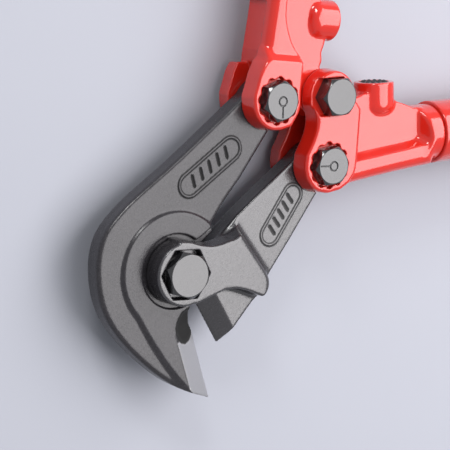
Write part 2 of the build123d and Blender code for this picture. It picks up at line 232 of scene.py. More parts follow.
def join(a, b, blend=0.0):
    """Union, with a fillet about blend wide."""
    if blend == 0:
        return np.minimum(a, b)
    h = np.clip(0.5 + 0.5 * (b - a) / blend, 0, 1)
    return b + (a - b) * h - blend * h * (1 - h)


def cut(a, b, blend=0.0):
    """a without b, with an edge rounded about blend wide."""
    return -join(-a, b, blend)


def soften(field, step, radius):
    """Rounds every edge and fills every corner of a field, as a forging die does."""
    taps = int(3 * radius / step)
    if taps < 1:
        return field
    weights = np.exp(-0.5 * (np.arange(-taps, taps + 1) * step / radius) ** 2)
    weights /= weights.sum()
    for axis in range(3):
        pad = [(taps, taps) if i == axis else (0, 0) for i in range(3)]
        padded = np.pad(field, pad, mode="edge")
        length = field.shape[axis]
        out = np.zeros_like(field)
        for i, weight in enumerate(weights):
            window = [slice(None)] * 3
            window[axis] = slice(i, i + length)
            out += weight * padded[tuple(window)]
        field = out
    return field


# ---------------------------------------------------------------- meshing
CORNERS = np.array([(i, j, k) for i in (0, 1) for j in (0, 1) for k in (0, 1)])
EDGES = [(a, b) for a in range(8) for b in range(a + 1, 8) if abs(CORNERS[a] - CORNERS[b]).sum() == 1]


def sample(field, where):
    """The field at fractional grid places, by trilinear interpolation."""
    base = np.clip(np.floor(where).astype(int), 0, np.array(field.shape) - 2)
    part = where - base
    total = 0
    for corner in CORNERS:
        weight = np.prod(np.where(corner == 1, part, 1 - part), axis=1)
        total = total + weight * field[tuple((base + corner).T)]
    return total


def surface(field):
    """Vertices, in grid cells, and quads of the zero surface, with outward normals.

    Each cell that the surface crosses gets one vertex, which is then moved onto the surface.
    """
    inside = field < 0
    cell = tuple(n - 1 for n in field.shape)
    views = [field[tuple(slice(c, c + n) for c, n in zip(corner, cell))] for corner in CORNERS]
    count = sum((view < 0).astype(np.int8) for view in views)
    active = (count > 0) & (count < 8)
    places = np.argwhere(active)
    index = np.full(cell, -1)
    index[active] = np.arange(len(places))
    values = np.stack([view[active] for view in views], 1)
    total, hits = np.zeros((len(places), 3)), np.zeros(len(places))
    for a, b in EDGES:
        va, vb = values[:, a], values[:, b]
        crossing = (va < 0) != (vb < 0)
        t = np.where(crossing, va / np.where(crossing, va - vb, 1), 0)
        total += crossing[:, None] * (CORNERS[a] + t[:, None] * (CORNERS[b] - CORNERS[a]))
        hits += crossing
    points = places + total / hits[:, None]
    quads = []
    for axis in range(3):
        other = [i for i in range(3) if i != axis]
        ahead = tuple(slice(1, None) if i == axis else slice(None) for i in range(3))
        behind = tuple(slice(None, -1) if i == axis else slice(None) for i in range(3))
        here = np.argwhere(inside[behind] != inside[ahead])
        here = here[(here[:, other[0]] > 0) & (here[:, other[1]] > 0)]
        here = here[(here[:, other[0]] < cell[other[0]]) & (here[:, other[1]] < cell[other[1]])]
        steps = []
        for da, db in ((0, 0), (1, 0), (1, 1), (0, 1)):
            shifted = here.copy()
            shifted[:, other[0]] -= da
            shifted[:, other[1]] -= db
            steps.append(index[tuple(shifted.T)])
        faces = np.stack(steps, 1)
        flip = inside[tuple(here.T)] == (axis == 1)
        faces[flip] = faces[flip][:, ::-1]
        quads.append(faces)
    quads = np.concatenate(quads)
    slope = np.gradient(field)
    normals = np.stack([sample(part, points) for part in slope], 1)
    furthest = 0.3
    for _ in range(2):
        step = sample(field, points) / np.maximum((normals**2).sum(1), 1e-6)
        points = points - np.clip(step[:, None] * normals, -furthest, furthest)
        normals = np.stack([sample(part, points) for part in slope], 1)
    normals /= np.maximum(np.linalg.norm(normals, axis=1), 1e-9)[:, None]
    return points, quads, normals


def mesh_object(name, points, faces, normals=None, marks=None):
    """A smooth mesh from arrays: points in metres, faces as equal-sided polygons."""
    mesh = bpy.data.meshes.new(name)
    sides = faces.shape[1]
    mesh.vertices.add(len(points))
    mesh.vertices.foreach_set("co", points.astype(np.float32).ravel())
    mesh.loops.add(faces.size)
    mesh.loops.foreach_set("vertex_index", faces.astype(np.int32).ravel())
    mesh.polygons.add(len(faces))
    mesh.polygons.foreach_set("loop_start", np.arange(0, faces.size, sides, dtype=np.int32))
    mesh.update(calc_edges=True)
    mesh.validate()
    mesh.shade_smooth()
    if normals is not None:
        mesh.normals_split_custom_set_from_vertices(normals.tolist())
    for key, values in (marks or {}).items():
        mesh.attributes.new(key, "FLOAT", "POINT").data.foreach_set("value", values.astype(np.float32))
    made = bpy.data.objects.new(name, mesh)
    bpy.context.scene.collection.objects.link(made)
    return made


def row_place(points, normals, place):
    """Moves millimetre points about the middle plane into the object's frame, in metres."""
    matrix = np.array(place)
    turned = normals @ matrix[:3, :3].T
    return (points @ matrix[:3, :3].T + matrix[:3, 3]) * MM, turned


def field_object(name, grid, field, place, marks=None):
    """marks are functions of the surface's places that give a value from 0 to 1."""
    points, quads, normals = surface(field)
    points = points * grid.step + grid.low
    values = {key: np.clip(mark(Places(points)), 0, 1) for key, mark in (marks or {}).items()}
    moved, turned = row_place(points, normals, place)
    if np.linalg.det(np.array(place)[:3, :3]) < 0:
        quads = quads[:, ::-1]
    return mesh_object(name, moved, quads, turned, values)


FLAT = Matrix.Translation((0, 0, MIDDLE))
RIGHT = Matrix.Translation(HANDLE_PIVOT) @ Matrix.Rotation(-HANDLE_ANGLE, 4, "Z")
MIRROR = Matrix.Scale(-1, 4, (0, 1, 0))
HANDLES = {"right": RIGHT, "left": MIRROR @ RIGHT}


# ---------------------------------------------------------------- blades
def edge_frame(grid, edge):
    """How far along a cutting edge each place is, and how far inside it on its clockwise side."""
    angle, offset = math.radians(edge[0]), edge[1]
    along = grid.x * math.cos(angle) + grid.y * math.sin(angle)
    out = offset + grid.x * math.sin(angle) - grid.y * math.cos(angle)
    return along, out


def bevel(grid, depth_in):
    """Solid below a bevel ground to a cutting edge; depth_in is the distance inside the edge."""
    return (grid.depth - EDGE_LAND - BEVEL_SLOPE * depth_in) / math.hypot(1, BEVEL_SLOPE)


def badge(grid, face, ends, radius):
    """A raised stadium ring on a blade's front face and five engraved bars inside it, as two solids."""
    a, b = (np.array(end, float) for end in ends)
    run = (b - a) / np.linalg.norm(b - a)
    slant = 0.35
    half_bar = 0.45 * radius * (np.array((-run[1], run[0])) + slant * run)
    ring = front_slab(grid, np.abs(capsule(grid, a, b, radius)) - RIDGE, face - 1, face + BADGE_RELIEF)
    bars = 1e9
    for i in range(BADGE_BARS):
        middle = a + (b - a) * (i + 0.5) / BADGE_BARS
        bars = np.minimum(bars, capsule(grid, middle - half_bar, middle + half_bar, RIDGE))
    return ring, np.maximum(bars, face - BADGE_RELIEF - grid.z)


def badge_shade_and_fill(places, face, ends, radius):
    """Painted shade along the foot of a badge's ring, and the black fill of its bars."""
    bars = badge(places, face, ends, radius)[1]
    # The ring's foot is darkened as painted shade; the bars get their black fill
    foot = np.abs(np.abs(capsule(places, *ends, radius)) - RIDGE - 0.15)
    near = places.z > face - 1
    return near * np.maximum(1.3 - foot * 2.6, (bars < 0.25) * 1.0)


def with_badge(grid, blade, ends, radius):
    ring, bars = badge(grid, SHANK, ends, radius)
    return cut(np.minimum(blade, ring), bars, FINE)


def hook_outline(grid):
    """The hook blade seen flat: from its shank round the back to the tip, then up the edge and the hub."""
    tip = edge_point(HOOK_EDGE, HOOK_EDGE_END)
    edge_start = edge_point(HOOK_EDGE, math.sqrt(HUB_RADIUS**2 - HOOK_EDGE[1] ** 2))
    back = curve([(88, 35.2), (40, 40), (0, 45), (-22, 40), (-39.5, 20), (-45.3, -5), (-42.5, -40), tip])
    hub = arc((0, 0), HUB_RADIUS, HUB_START, HUB_END)
    underside = [polar(RAISED_RADIUS, HUB_END), (30.3, 1.2), (33, 1), (45, 3.5), (60, 5), (88, 10.2)]
    return outline(grid, [(96, 34.2)] + back + [edge_start] + hub + underside + [(96, 12.5)])


def hook_step(grid, body):
    """The raised inner region, whose wall is steep round the hub and spreads towards the tip."""
    crest = arc((0, 0), RAISED_RADIUS, HUB_END, 180, 40)
    inner_side = curve([polar(RAISED_RADIUS, 180), (-33.3, -15), (-35.6, -30), (-36.8, -45), (-36, -60),
                        (-33, -72)])
    lower = [(0, -74), (20, -40), polar(HUB_RADIUS, -40), polar(HUB_RADIUS, HUB_END)]
    raised = outline(grid, crest + inner_side[1:] + lower)
    slope = np.interp(grid.y, (-50, 10), STEP_SLOPES)
    wall = (raised + slope * (grid.depth - RAISED)) / np.hypot(1, slope)
    return np.maximum(np.maximum(wall, grid.depth - RAISED), body)


def scoop(grid):
    """A round hollow beside the jaw's throat, the same on both sides."""
    centre = edge_point(HOOK_EDGE, HOOK_BEVEL_START, SCOOP_INSET)
    return np.sqrt(circle(grid, 0, centre) ** 2 + (grid.depth - SCOOP_DEPTH) ** 2) - SCOOP_RADIUS


def hook_bare(places):
    """Where the hook's edge is ground bare: its bevel, up to the scoop."""
    along, inward = edge_frame(places, HOOK_EDGE)
    on_bevel = np.abs(bevel(places, inward)) < BARE_DEPTH
    return on_bevel * (along > BARE_START) * (scoop(places) >= SCOOP_RIM)


def hook_shade_and_fill(places):
    # Painted shade over the whole scoop hollow, added to the badge's painted shade and black fill
    hollow = np.abs(scoop(places)) < SCOOP_RIM
    return np.maximum(badge_shade_and_fill(places, SHANK, *HOOK_BADGE), hollow * 1.0)


def hook_blade():
    grid = Grid((-50, -74, -10), (112, 50, 10), VOXEL)
    body = hook_outline(grid)
    rim = slab(grid, body, SHANK, edge=2.4)
    arm_end = slab(grid, circle(grid, ARM_END_RADIUS, ARM), SHANK, edge=1.0)
    blade = join(rim, arm_end, blend=2.0)
    blade = soften(join(blade, hook_step(grid, body)), grid.step, radius=0.45)
    sector = [(0, 0), (-9, -25), (0, -40), (34, -40), (34, 0), (23, 1.6), (15, 4)]
    recess = np.minimum(circle(grid, RECESS_RADIUS), outline(grid, sector))
    blade = cut(blade, np.maximum(recess, HUB - grid.depth), blend=0.7)
    blade = cut(blade, scoop(grid), blend=1.2)
    along, inward = edge_frame(grid, HOOK_EDGE)
    blade = cut(blade, np.maximum(-bevel(grid, inward), HOOK_BEVEL_START - along), EASED)
    blade = cut(blade, circle(grid, HOOK_BORE), CRISP)
    blade = cut(blade, circle(grid, ARM_BORE, ARM), CRISP)
    blade = with_badge(grid, blade, *HOOK_BADGE)
    # The second mark carries painted shade in the scoop and at the badge ring's foot, and the bars' black
    # fill
    return field_object("hook_blade_forging", grid, blade, FLAT, {"ground": hook_bare, "shade_and_black_fill": hook_shade_and_fill})


def fork_core(grid):
    """The fork's middle layer: its shank and the short jaw, hollowed round the hook's hub."""
    root_radius = HUB_RADIUS + HUB_GAP
    edge_top = edge_point(FORK_EDGE, math.sqrt(root_radius**2 - FORK_EDGE[1] ** 2))
    edge_end = edge_point(FORK_EDGE, FORK_EDGE_END)
    root = arc((0, 0), root_radius, -20.5, -92.6)
    jaw = [edge_top, edge_end, (20, -48.6), (25.5, -48.9), (33, -46.4), (60, -41.9), (88, -36.6),
           (96, -35.2)]
    top = [(96, -13.2), (88, -12.2), (60, -8.8), (45, -7.4)]
    core = slab(grid, outline(grid, jaw + top + root[:-1]), SHANK, edge=1.0)
    arm_end = slab(grid, circle(grid, ARM_END_RADIUS, FORK_ARM), SHANK, edge=1.0)
    along, inward = edge_frame(grid, FORK_EDGE)
    core = join(core, arm_end, blend=2.0)
    return cut(core, np.maximum(-bevel(grid, -inward), HUB_RADIUS - along), EASED)


def fork_plates(grid):
    """The two outer plates, which reach round the pivot and slope down onto the shank."""
    upper = [(9, 15), (13.5, 9.5), (16.5, 4), (21.5, -2), (28.5, -6.5), (36, -9.8), (60, -12)]
    lower = [(60, -40), (32.5, -45.5), (29.5, -46), (25.5, -46), (23, -44), (19.5, -36), (15.5, -29),
             (10.5, -24)]
    cheek = outline(grid, curve(upper, 4) + curve(lower, 4) + [(-7, -15.6)])
    plate = slab(grid, np.minimum(cheek, circle(grid, RING_RADIUS)), FORK_OUTER, edge=1.0, draft=0.05)
    tail = beyond(grid, (0, -44.6), (0, -1), 0.3, FORK_OUTER)
    diagonal = (math.sqrt(0.5), -math.sqrt(0.5))
    nose = beyond(grid, (31.7, -44.6), diagonal, 0.45, FORK_OUTER) + NOSE_TRIM
    ramp = beyond(grid, (34.3, -24), (1, -0.125), 0.46, FORK_OUTER) / RAMP_STEEPNESS
    plate = cut(plate, -tail, blend=1.0)
    plate = cut(plate, -nose, blend=3.0)
    plate = cut(plate, -ramp, blend=2.0)
    return np.maximum(plate, FORK_INNER - grid.depth)


def fork_bare(places):
    """The fork's bevel is as dark as the rest, so nothing is bare."""
    return places.x * 0


def fork_shade_and_fill(places):
    # Painted shade at the foot of the fork badge's ring, and the black fill of its bars
    return badge_shade_and_fill(places, SHANK, *FORK_BADGE)


def fork_blade():
    grid = Grid((-20, -54, -20), (112, 20, 20), VOXEL)
    blade = soften(join(fork_core(grid), fork_plates(grid), blend=3.0), grid.step, radius=0.4)
    hub_room = np.where(grid.depth < FORK_INNER, circle(grid, HUB_RADIUS + HUB_GAP), 1e3)
    blade = np.maximum(blade, -hub_room)
    blade = cut(blade, circle(grid, FORK_BORE), FINE)
    head_pocket = hexagon(grid, PIVOT_POCKET_FLATS, PIVOT_POCKET_TURN)
    blade = cut(blade, np.maximum(head_pocket, PIVOT_FLOOR - grid.z), EASED)
    blade = cut(blade, np.maximum(circle(grid, PIVOT_NUT_POCKET), PIVOT_FLOOR + grid.z), EASED)
    blade = cut(blade, circle(grid, ARM_BORE, FORK_ARM), CRISP)
    blade = with_badge(grid, blade, *FORK_BADGE)
    # The second mark carries painted shade at the badge ring's foot and the bars' black fill
    return field_object("fork_blade_forging", grid, blade, FLAT, {"ground": fork_bare, "shade_and_black_fill": fork_shade_and_fill})


# ---------------------------------------------------------------- handle heads
RAIL_OUTER = {
    "right": [(2, -50.3), (9.6, -49.6), (20.6, -48.3), (39, -46.5), (59, -44.9), (72, -44)],
    "left": [(2, -47), (10, -45.6), (20.7, -43.8), (29, -43.1), (40, -42.3), (50, -42), (60, -43),
             (72, -44)],
}
RAIL_INNER = {
    "right": [(2, -38.1), (18.2, -36.7), (39.4, -34.9), (54.5, -33.6), (72, -31.6)],
    "left": [(8, -22), (16.5, -20.5), (21.5, -24.9), (28, -29.4), (37.5, -32.9), (47.2, -33.4), (72, -33)],
}
RAIL_DRAFT = {"right": 0.52, "left": 0.2}


def neck_bar(grid, radius, start, end):
    """A round bar along the tube's axis."""
    across = np.hypot(grid.y - TUBE_Y, grid.z) - radius
    return np.maximum(across, np.maximum(start - grid.x, grid.x - end))


def boss_bar(grid, radius, low, high):
    """A round bar along the boss's axis, which is across the handle."""
    across = np.hypot(grid.x - BOSS_X, grid.z) - radius
    return np.maximum(across, np.maximum(low - grid.y, grid.y - high))


def boss(grid):
    """The round boss that holds the buffer, with a domed lower end."""
    across = np.hypot(grid.x - BOSS_X, grid.z) - BOSS_RADIUS + BOSS_ROUND
    below = BOSS_LOW + BOSS_ROUND - grid.y
    inner = np.minimum(np.maximum(across, below), 0)
    domed = inner + np.hypot(np.maximum(across, 0), np.maximum(below, 0)) - BOSS_ROUND
    return np.maximum(domed, grid.y - BOSS_TOP)


def handle_core(grid, side):
    """The web, rail, neck and boss that both heads share; the rails differ a little."""
    web = [(9, -42), (9, -12), (12.5, -4), (17.5, -2.2), (22, -3), (27, -1.5), (39, -1), (50, -7.4),
           (56, -9.4), (62, -12), (68, -12.4), (68, -42)]
    core = slab(grid, outline(grid, web), WEB[side], edge=1.2)
    rail = outline(grid, curve(RAIL_OUTER[side], 4) + [(72, -10), (2, -10)])
    rail = slab(grid, rail, RAIL, edge=6.5)
    wall = outline(grid, curve(RAIL_INNER[side], 6) + [(80, -70), (2, -70)])
    draft = RAIL_DRAFT[side]
    rail = cut(rail, -(wall + draft * (grid.depth - RAIL)) / math.hypot(1, draft), blend=1.0)
    rail = np.maximum(rail, grid.x - RAIL_END)
    end_wall = beyond(grid, (END_WALL, 0), (1, 0), -0.5, WEB["right"]) / math.hypot(1, 0.5)
    neck = neck_bar(grid, NECK_RADIUS, NECK_START, TUBE_START)
    rail = join(rail, cut(neck, end_wall, blend=1.5), blend=4.0)
    return join(join(core, rail, blend=1.5), boss(grid), blend=1.2)


def star(grid):
    """The twelve-point pocket round an eccentric bolt's head."""
    pocket = circle(grid, STAR_RADIUS, ECCENTRIC)
    for i in range(STAR_NOTCHES):
        notch = polar(NOTCH_REACH, i * 360 / STAR_NOTCHES, ECCENTRIC)
        pocket = np.minimum(pocket, circle(grid, NOTCH_RADIUS, notch))
    return np.maximum(pocket, EAR_FLOOR - grid.z)


def arm_slot(grid):
    """Room for the round end of the blade's arm, and the shallow flat that runs on along the rail's side."""
    between = [(-40, -70), (14, -70), (14, -41.5), (8, -38.5), (6, -38.5), (6, -24), (-2, -24), (-2, -19),
               (-40, -19)]
    room = np.minimum(circle(grid, ARM_END_RADIUS + ARM_ROOM, BOLT_SPOT), outline(grid, between))
    room = np.maximum(room, grid.depth - SLOT)
    flat = outline(grid, [(13, -70), (46, -70), (46, -40.4), (40, -40.9), (29, -41.8), (20.7, -42.6),
                          (13, -41.5)])
    through_back = np.where(grid.x < BACK_STEP, -grid.z - SLOT, -99)
    flat = np.maximum(np.maximum(flat, grid.z - SLOT), through_back)
    return np.minimum(room, flat)


def bore_bolt(grid, head):
    """The adjusting bolt's bore, wider through the front ear, its star pocket and its nut's pocket."""
    front = np.maximum(circle(grid, ADJUSTER_BORE, ECCENTRIC), -grid.z)
    head = cut(head, np.minimum(front, circle(grid, PIN_BORE, ECCENTRIC)), FINE)
    head = cut(head, star(grid), CRISP)
    nut_pocket = circle(grid, ADJUSTER_NUT_POCKET, ECCENTRIC)
    return cut(head, np.maximum(nut_pocket, EAR_FLOOR + grid.z), EASED)


def bore_boss(grid, head):
    hole = boss_bar(grid, BUFFER_RADIUS + 0.1, BUFFER_TOP - BUFFER_DEPTH, BOSS_TOP + 5)
    return cut(head, hole, BLUNT)


def long_pocket(grid):
    """The handle pivot's hexagon pocket, drawn out to the side so that a spanner can swing in it."""
    half, shift = LONG_POCKET_FLATS / 2, LONG_POCKET_SHIFT
    ends = np.minimum(hexagon(grid, LONG_POCKET_FLATS, ROUND_TURN),
                      hexagon(grid, LONG_POCKET_FLATS, ROUND_TURN, (-shift, 0)))
    middle = np.maximum(np.abs(grid.y) - half, np.abs(grid.x + shift / 2) - shift / 2)
    return np.minimum(ends, middle)


def head_grid():
    return Grid((-24, -54, -20), (TUBE_START + 1, 17, 20), VOXEL)


def right_head():
    grid = head_grid()
    head = handle_core(grid, "right")
    waist = curve([(-12.8, -3), (-11.2, -12), (-13, -20), (-18.5, -30)], 6)
    outside = [(-14, -47.5), (-5, -50.7), (3, -50), (9, -47), (13, -42), (14.5, -36), (17.3, -8),
               (12.4, -1), (5, 2)]
    plate = join(outline(grid, waist + outside), circle(grid, PIVOT_EAR_RADIUS), blend=2.0)
    plate = join(plate, circle(grid, EAR_RADIUS, BOLT_SPOT), blend=1.0)
    head = join(head, slab(grid, plate, EAR, edge=1.8, draft=0.1), blend=1.2)
    gap = outline(grid, [(-40, -60), (3, -60), (3, -30), (9.5, -16), (9.5, 20), (-40, 20)])
    gap = np.minimum(gap, circle(grid, TONGUE_RADIUS + TONGUE_GAP))
    head = cut(head, np.maximum(gap, grid.depth - SLOT), BLUNT)
    head = soften(head, grid.step, radius=0.4)
    head = cut(head, arm_slot(grid), FINE)
    head = bore_bolt(grid, head)
    head = cut(head, np.maximum(long_pocket(grid), EAR_FLOOR - grid.z), EASED)
    head = cut(head, np.maximum(circle(grid, PIN_NUT_POCKET), EAR_FLOOR + grid.z), EASED)
    head = cut(head, circle(grid, PIN_BORE), FINE)
    head = bore_boss(grid, head)
    return field_object("right_head_forging", grid, head, HANDLES["right"])


def left_ears(grid):
    """The two ears round the arm; the front one slopes onto the rail, and the back one ends in a step."""
    ear = [(-19, -33), (-17, -26), (-9, -22.3), (16, -22), (19, -23.5), (22, -26), (22, -43.4), (17, -44.2),
           (14.8, -46.2), (8, -48.6), (-4, -50.9)]
    ear = join(outline(grid, ear), circle(grid, EAR_RADIUS, BOLT_SPOT), blend=1.0)
    ear = slab(grid, ear, EAR, edge=1.6, draft=0.1)
    ramp = beyond(grid, (15.6, 0), (1, 0), 1.1, EAR) / math.hypot(1, 1.1)
    ramp = np.where(grid.z > 0, ramp, grid.x - BACK_STEP)
    corner = beyond(grid, (15.6, -45.2), (0.58, -0.812), 0.5, EAR)
    return cut(cut(ear, -ramp, blend=1.0), -corner, blend=3.0)


def left_head():
    grid = head_grid()
    head = join(handle_core(grid, "left"), left_ears(grid), blend=1.2)
    head = soften(head, grid.step, radius=0.4)
    head = cut(head, arm_slot(grid), FINE)
    tongue = outline(grid, [(-13, 0), (13, 0), (14, -10), (12, -24), (-1, -24), (-12.5, -6)])
    tongue = join(circle(grid, TONGUE_RADIUS), tongue, blend=1.0)
    head = join(head, slab(grid, tongue, WEB["left"], edge=1.0), blend=2.0)
    arm_room = circle(grid, ARM_END_RADIUS + TONGUE_ROOM, BOLT_SPOT)
    head = cut(head, np.maximum(arm_room, grid.depth - SLOT), EASED)
    head = bore_bolt(grid, head)
    head = cut(head, circle(grid, TONGUE_HOLE), EASED)
    head = bore_boss(grid, head)
    return field_object("left_head_forging", grid, head, HANDLES["left"])


# ---------------------------------------------------------------- fasteners
def chamfered(grid, flats, turn, low, high):
    """A hexagon between two heights, its corners trimmed at 45 degrees at the outer end."""
    solid = front_slab(grid, hexagon(grid, flats, turn + ROUND_TURN), low, high)
    crown_radius = flats / 2 - 0.25
    crown = (np.hypot(grid.x, grid.y) - crown_radius + grid.z - high) / math.sqrt(2)
    return np.maximum(solid, crown)


def fastener_grid(flats, low, high, step):
    """A grid round a hexagon's corners."""
    reach = flats * 0.62 + 1
    return Grid((-reach, -reach, low - 1), (reach, reach, high + 1), step)


def setting_mark(grid, flats, direction):
    """The ring and pointer on an adjusting bolt's head, as a pattern in the XY plane."""
    ring_radius = 2.35
    ring = np.abs(np.hypot(grid.x, grid.y) - ring_radius) - 0.27
    pointer = capsule(grid, polar(ring_radius + 0.25, direction), polar(flats / 2 - 1.2, direction), 0.25)
    return np.minimum(ring, pointer)


def bolt(name, place, flats, floor, top, shanks, turn, mark=None):
    """shanks is a list of (radius, low, high, x offset); mark is the direction of the engraved pointer."""
    grid = fastener_grid(flats, min(low for _, low, _, _ in shanks), top, 0.26)
    head = soften(chamfered(grid, flats, turn, floor, top), grid.step, radius=0.13)
    if mark is not None:
        engraving = 0.55
        head = cut(head, np.maximum(setting_mark(grid, flats, mark), top - engraving - grid.z), blend=0.1)
    for radius, low, high, shift in shanks:
        head = np.minimum(head, front_slab(grid, circle(grid, radius, (shift, 0)), low, high))
    return field_object(name, grid, head, place)


def nut(name, place, flats, bore, low, high, turn):
    """The outer face is the lower one, so the nut is drawn upside down and flipped."""
    grid = fastener_grid(flats, -high, -low, 0.28)
    solid = soften(chamfered(grid, flats, turn, -high, -low), grid.step, radius=0.22)
    solid = cut(solid, circle(grid, bore + 0.05), FINE)
    return field_object(name, grid, solid, place @ Matrix.Rotation(math.pi, 4, "X"))


def buffer(side):
    """A round rubber stop with a knobbly face."""
    reach = BUFFER_RADIUS + 1
    low = (BOSS_X - reach, BUFFER_TOP - BUFFER_DEPTH - 1, -reach)
    grid = Grid(low, (BOSS_X + reach, BUFFER_TOP + 1, reach), 0.25)
    body = boss_bar(grid, BUFFER_RADIUS, BUFFER_TOP - BUFFER_DEPTH, BUFFER_TOP - 0.7)
    body = soften(body, grid.step, radius=0.4)
    knob_radius, twist = 1.3, 7
    for ring, count in ((0, 1), (3.0, 6), (6.0, 12)):
        for i in range(count):
            x, z = polar(ring, 360 * i / count + ring * twist, (BOSS_X, 0))
            rise = grid.y - BUFFER_TOP + knob_radius
            knob = np.sqrt((grid.x - x) ** 2 + (grid.z - z) ** 2 + rise**2) - knob_radius
            body = join(body, knob, CRISP)
    return field_object(side + "_buffer_rubber", grid, body, HANDLES[side])


# ---------------------------------------------------------------- turned pieces
def turned(name, profile, side, ripple=None):
    """A closed ring of (position along the tube, radius) points swept round the tube's axis."""
    count, turns = len(profile), 96
    angles = np.arange(turns)[:, None] * 2 * math.pi / turns
    along = np.array([p[0] for p in profile])[None, :]
    radius = np.array([p[1] for p in profile])[None, :]
    grow = np.zeros((turns, count)) if ripple is None else ripple(angles, along, radius)
    radius = radius + grow
    across = radius * np.cos(angles) + TUBE_Y
    up = radius * np.sin(angles)
    points = np.stack([np.broadcast_to(along, up.shape), across, up], -1).reshape(-1, 3)
    ring = np.arange(turns * count).reshape(turns, count)
    ahead = np.roll(ring, -1, axis=0)
    faces = np.stack([ring, np.roll(ring, -1, axis=1), np.roll(ahead, -1, axis=1), ahead], -1).reshape(-1, 4)
    place = HANDLES[side]
    moved, _ = row_place(points, points * 0, place)
    if np.linalg.det(np.array(place)[:3, :3]) < 0:
        faces = faces[:, ::-1]
    made = mesh_object(name, moved, faces)
    made.data.set_sharp_from_angle(angle=math.radians(50))
    return made


def spaced(start, end, step):
    return list(np.linspace(start, end, max(2, int((end - start) / step) + 1)))


def quarter_round(end, inward, radius, size, steps):
    """From the end face out to the radius; inward is 1 or -1, towards the rest of the piece."""
    turns = np.linspace(0, math.pi / 2, steps)
    return [(end + inward * size * (1 - math.cos(a)), radius - size * (1 - math.sin(a))) for a in turns]


def tube(side):
    bore = TUBE_RADIUS - TUBE_WALL
    stations = spaced(TUBE_START + 4, TUBE_END, 12)
    lip = quarter_round(TUBE_START, 1, TUBE_RADIUS, 0.9, 5)
    outer = [(x, TUBE_RADIUS) for x in stations]
    inner = [(x, bore) for x in stations[::-1]]
    return turned(side + "_tube_shell", lip + outer + inner + [(TUBE_START, bore)], side)


def sleeve(side):
    """The hard plastic tube under the pad, with a rounded collar at its inner end."""
    bore = TUBE_RADIUS + 0.05
    collar_shape = [(0, 1.6), (0.5, 0.7), (1.6, 0), (COLLAR - 1, 0), (COLLAR - 0.1, 0.8)]
    collar = [(GRIP_START + along, GRIP_RADIUS - below) for along, below in collar_shape]
    body = [(GRIP_START + COLLAR, SLEEVE_RADIUS), (TUBE_END, SLEEVE_RADIUS), (TUBE_END, bore)]
    return turned(side + "_sleeve_moulding", [(GRIP_START, bore)] + collar + body, side)


def pad(side):
    """The soft pad over the sleeve: swollen at its ends and middle, with ribs on its two sides."""
    start, end = GRIP_START + COLLAR + 0.1, TUBE_END
    rib_pitch, rib_depth, slimming, margin = 6.5, 0.95, 0.9, 6

    def ribs(angle, along, radius):
        outside = radius > SLEEVE_RADIUS + 0.5
        middle = np.clip(np.minimum(along - start - margin, end - margin - along) / 4, 0, 1)
        crest = 0.5 + 0.5 * np.cos((along - start) * 2 * math.pi / rib_pitch)
        around = np.clip(np.abs(np.sin(angle)) * 1.6 - 0.5, 0, 1)
        swelling = slimming * np.cos((along - start) / (end - start) * 2 * math.pi) ** 2
        depth = rib_depth * crest * around + slimming - swelling * slimming
        return -1.0 * outside * middle * depth

    outer = [(x, GRIP_RADIUS) for x in spaced(start + 1.2, end - 0.8, 0.9)]
    profile = [(start, SLEEVE_RADIUS), (start, GRIP_RADIUS - 1.0), (start + 0.3, GRIP_RADIUS - 0.3)] + outer
    profile += [(end, GRIP_RADIUS - 0.7), (end, SLEEVE_RADIUS)]
    return turned(side + "_pad_moulding", profile, side, ripple=ribs)


def end_cap(side):
    """A plug in the tube's end under a dished, rounded cap."""
    radius, plug = GRIP_RADIUS - 0.6, TUBE_RADIUS - TUBE_WALL - 0.05
    edge, dish_depth, centre, clear = 2.5, 0.6, 0.02, 0.1
    round_over = quarter_round(GRIP_END, -1, radius, edge, 7)[::-1]
    dish = [(GRIP_END, radius - 5), (GRIP_END - dish_depth, radius - 6), (GRIP_END - dish_depth, centre)]
    hollow = plug - CAP_PLUG_WALL
    plug_end = TUBE_END - CAP_PLUG_LENGTH
    floor = TUBE_END + 2 * clear
    inside = [(floor, centre), (floor, hollow), (plug_end, hollow), (plug_end, plug)]
    seat = [(TUBE_END + clear, plug), (TUBE_END + clear, radius - 0.4)]
    return turned(side + "_cap_moulding", round_over + dish + inside + seat, side)


# ---------------------------------------------------------------- materials
# In each material, low and high are the least and the most rough it gets.
def noise(tree, scale, detail=3.0):
    """Fractal noise in the object's own coordinates; scale is in features per metre."""
    place = tree.nodes.new("ShaderNodeTexCoord")
    node = tree.nodes.new("ShaderNodeTexNoise")
    node.inputs["Scale"].default_value = scale
    node.inputs["Detail"].default_value = detail
    node.inputs["Roughness"].default_value = 0.55
    tree.links.new(place.outputs["Object"], node.inputs["Vector"])
    return node.outputs["Fac"]


def spread(tree, value, low, high):
    """Maps a noise value, mostly 0.3 to 0.7, onto low to high."""
    node = tree.nodes.new("ShaderNodeMapRange")
    node.inputs["From Min"].default_value = 0.3
    node.inputs["From Max"].default_value = 0.7
    node.inputs["To Min"].default_value = low
    node.inputs["To Max"].default_value = high
    tree.links.new(value, node.inputs["Value"])
    return node.outputs["Result"]


def blend(tree, factor, a, b):
    """a where the factor is 0 and b where it is 1; each is a colour or another node's output."""
    node = tree.nodes.new("ShaderNodeMix")
    node.data_type = "RGBA"
    tree.links.new(factor, node.inputs["Factor"])
    for socket, colour in (("A", a), ("B", b)):
        target = [s for s in node.inputs if s.name == socket and s.type == "RGBA"][0]
        if isinstance(colour, tuple):
            target.default_value = (*colour, 1)
        else:
            tree.links.new(colour, target)
    return [s for s in node.outputs if s.type == "RGBA"][0]


def mark(tree, name):
    """A value from 0 to 1 that the mesh carries at its points."""
    node = tree.nodes.new("ShaderNodeAttribute")
    node.attribute_name = name
    return node.outputs["Fac"]


